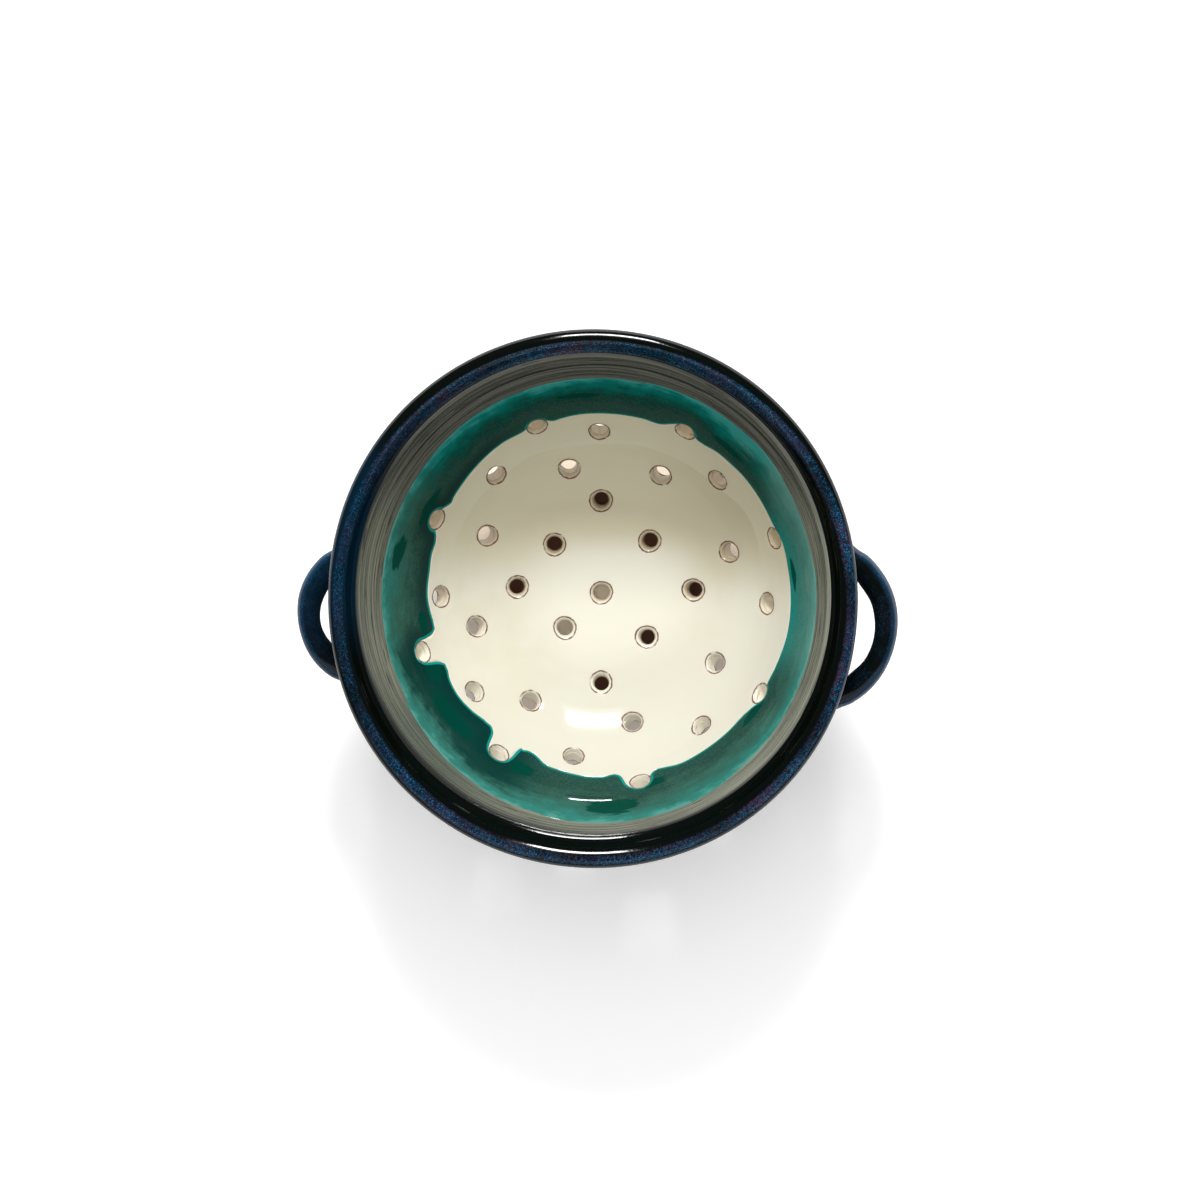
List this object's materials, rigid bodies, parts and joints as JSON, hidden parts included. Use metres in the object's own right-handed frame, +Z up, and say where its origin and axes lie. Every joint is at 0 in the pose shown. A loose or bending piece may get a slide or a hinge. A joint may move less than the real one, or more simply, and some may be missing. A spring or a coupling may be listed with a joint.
{
  "type": "berry colander bowl",
  "caption": "Thrown stoneware berry colander bowl with a perforated belly, a rolled rim, two loop handles and a foot ring.",
  "frame": {"origin": "on the bowl's axis at the plane it stands on", "axes": "+Z up along the axis of the bowl, X through the two handles, left handle on -X"},
  "size_m": [0.188, 0.165, 0.076],
  "materials": {
    "stoneware": "bare fired clay, matte, warm red-brown",
    "cream_glaze": "glossy cream liner glaze",
    "teal_glaze": "glossy teal glaze, dark where it pools",
    "olive_glaze": "satin-gloss olive grey glaze over throwing rings",
    "blue_glaze": "glossy midnight blue glaze with fine blue and rust specks"
  },
  "bodies": {
    "root": {"clay_bowl": "stoneware", "foot_ring": "stoneware", "left_handle": "stoneware", "right_handle": "stoneware", "cream_glaze": "cream_glaze", "teal_glaze": "teal_glaze", "olive_glaze": "olive_glaze", "blue_glaze": "blue_glaze", "left_handle_glaze": "blue_glaze", "right_handle_glaze": "blue_glaze"}
  },
  "joints": []
}
